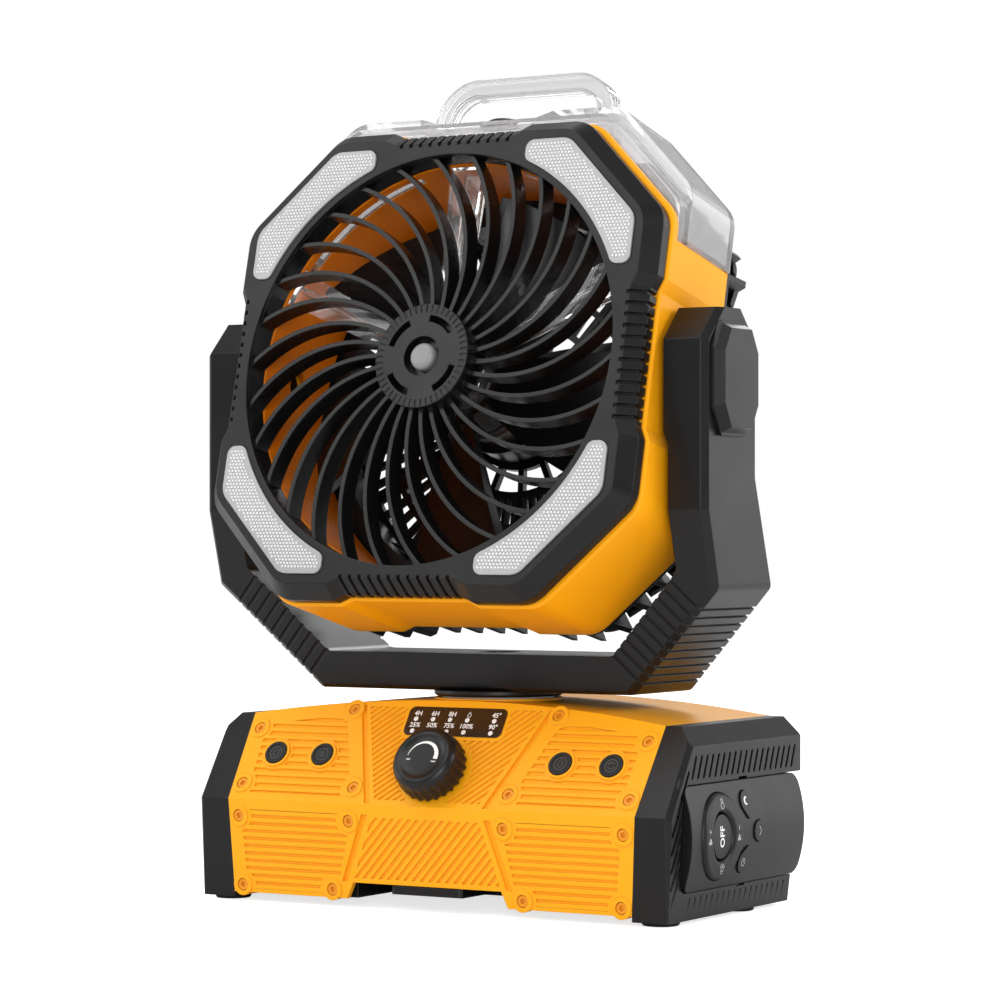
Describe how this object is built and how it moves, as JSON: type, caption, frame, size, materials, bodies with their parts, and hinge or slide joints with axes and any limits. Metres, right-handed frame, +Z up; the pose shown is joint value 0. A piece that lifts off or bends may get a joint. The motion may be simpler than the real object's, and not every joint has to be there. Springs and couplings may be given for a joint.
{
  "type": "portable camping fan",
  "caption": "Portable camping fan: round grille and corner lamps in a tilting head with a clear tank, on a swivelling yoke over a battery base with knob, keys and a docked remote.",
  "frame": {"origin": "on the table under the swivel axis, in the plane of the rubber feet", "axes": "+Z up; -Y is the way the grille blows at rest; +X towards the end with the remote"},
  "size_m": [0.2292, 0.1286, 0.3246],
  "materials": {
    "amber": "satin amber-orange moulding with a fine grain",
    "black": "satin black moulding with a fine grain",
    "knob_black": "semi-gloss black",
    "clear": "clear polished plastic",
    "lens": "clear plastic with small prisms, pale grey",
    "dome": "light grey, satin",
    "window": "gloss black window with printed marks",
    "key_black": "soft black key",
    "steel": "plain steel",
    "screw_amber": "steel painted to match the shell",
    "gear_white": "natural acetal",
    "board": "green circuit board",
    "led_white": "white circuit board",
    "cell": "blue shrink sleeve",
    "motor": "dull plated steel can",
    "rubber": "matt black rubber"
  },
  "bodies": {
    "base": {"base_shell": "amber", "base_floor": "black", "left_end_cap": "black", "right_end_cap": "black", "base_feet": "rubber", "panel_screws": "screw_amber", "floor_screws": "steel", "indicator_window": "window", "control_board": "board", "rotary_encoder": "steel", "battery_cells": "cell", "battery_holder": "black", "usb_sockets": "steel", "swing_motor": "motor", "swivel_bearing": "gear_white"},
    "pinion": {"swing_pinion": "gear_white"},
    "bail": {"hanging_bail": "black"},
    "knob": {"control_knob": "knob_black"},
    "remote": {"remote_case": "black", "remote_back": "black", "remote_board": "board", "remote_coin_cell": "steel"},
    "yoke": {"yoke_bracket": "black", "swivel_disc": "black", "swivel_gear": "gear_white", "swivel_retainer": "gear_white", "left_pivot_cover": "black", "right_pivot_cover": "black"},
    "head": {"head_bezel": "black", "front_grille": "black", "hub_cap": "black", "nozzle_dome": "dome", "head_casing": "amber", "clear_tank": "clear", "carry_handle": "clear", "mist_manifold": "clear", "rear_grille": "black", "fan_motor": "motor", "left_pivot_hub": "black", "right_pivot_hub": "black", "pivot_nuts": "steel", "cover_screws": "steel", "led_boards": "led_white", "right_upper_lens": "lens", "right_lower_lens": "lens", "left_lower_lens": "lens", "left_upper_lens": "lens"},
    "filler": {"filler_cap": "black"},
    "fan": {"impeller": "black", "motor_shaft": "steel"},
    "power_button": {"power_button": "key_black"},
    "light_button": {"light_button": "key_black"},
    "mist_button": {"mist_button": "key_black"},
    "swing_button": {"swing_button": "key_black"},
    "remote_ring_key": {"remote_ring_key": "key_black"},
    "remote_off_key": {"remote_off_key": "key_black"},
    "remote_light_key": {"remote_light_key": "key_black"},
    "remote_swing_key": {"remote_swing_key": "key_black"},
    "remote_timer_key": {"remote_timer_key": "key_black"}
  },
  "joints": [
    {"name": "head_swivel", "type": "hinge", "parent": "base", "child": "yoke", "pos_m": [0, 0, 0.0825], "axis": [0, 0, 1], "range_deg": [-45, 45]},
    {"name": "pinion_spin", "type": "hinge", "parent": "base", "child": "pinion", "pos_m": [0, 0.032, 0.061], "axis": [0, 0, 1], "range_deg": [-135, 135]},
    {"name": "head_tilt", "type": "hinge", "parent": "yoke", "child": "head", "pos_m": [0, -0.0204, 0.2015], "axis": [-1, 0, 0], "range_deg": [-103, 76]},
    {"name": "fan_spin", "type": "hinge", "parent": "head", "child": "fan", "pos_m": [0, -0.0204, 0.2015], "axis": [0, 0.9717, -0.2362], "continuous": true},
    {"name": "filler_cap_pull", "type": "slide", "parent": "head", "child": "filler", "axis": [0, 0.2362, 0.9717], "range_m": [0, 0.02]},
    {"name": "bail_fold", "type": "hinge", "parent": "base", "child": "bail", "pos_m": [0, -0.02, 0.0078], "axis": [1, 0, 0], "range_deg": [0, 90]},
    {"name": "knob_turn", "type": "hinge", "parent": "base", "child": "knob", "pos_m": [0, -0.04634, 0.05283], "axis": [0, -0.8396, 0.5432], "range_deg": [-150, 150]},
    {"name": "remote_slide", "type": "slide", "parent": "base", "child": "remote", "axis": [0, 1, 0], "range_m": [0, 0.095]},
    {"name": "power_press", "type": "slide", "parent": "base", "child": "power_button", "axis": [0, 0.8396, -0.5432], "range_m": [0, 0.0012], "stiffness_N_per_m": 600, "springref_m": -0.0008},
    {"name": "light_press", "type": "slide", "parent": "base", "child": "light_button", "axis": [0, 0.8396, -0.5432], "range_m": [0, 0.0012], "stiffness_N_per_m": 600, "springref_m": -0.0008},
    {"name": "mist_press", "type": "slide", "parent": "base", "child": "mist_button", "axis": [0, 0.8396, -0.5432], "range_m": [0, 0.0012], "stiffness_N_per_m": 600, "springref_m": -0.0008},
    {"name": "swing_press", "type": "slide", "parent": "base", "child": "swing_button", "axis": [0, 0.8396, -0.5432], "range_m": [0, 0.0012], "stiffness_N_per_m": 600, "springref_m": -0.0008},
    {"name": "remote_ring_press", "type": "slide", "parent": "remote", "child": "remote_ring_key", "axis": [-1, 0, 0], "range_m": [0, 0.0008], "stiffness_N_per_m": 500, "springref_m": -0.0006},
    {"name": "remote_off_press", "type": "slide", "parent": "remote", "child": "remote_off_key", "axis": [-1, 0, 0], "range_m": [0, 0.0008], "stiffness_N_per_m": 500, "springref_m": -0.0006},
    {"name": "remote_light_press", "type": "slide", "parent": "remote", "child": "remote_light_key", "axis": [-1, 0, 0], "range_m": [0, 0.0008], "stiffness_N_per_m": 500, "springref_m": -0.0006},
    {"name": "remote_swing_press", "type": "slide", "parent": "remote", "child": "remote_swing_key", "axis": [-1, 0, 0], "range_m": [0, 0.0008], "stiffness_N_per_m": 500, "springref_m": -0.0006},
    {"name": "remote_timer_press", "type": "slide", "parent": "remote", "child": "remote_timer_key", "axis": [-1, 0, 0], "range_m": [0, 0.0008], "stiffness_N_per_m": 500, "springref_m": -0.0006}
  ],
  "couplings": [
    {"joint": "pinion_spin", "follows": "head_swivel", "ratio": -3}
  ]
}
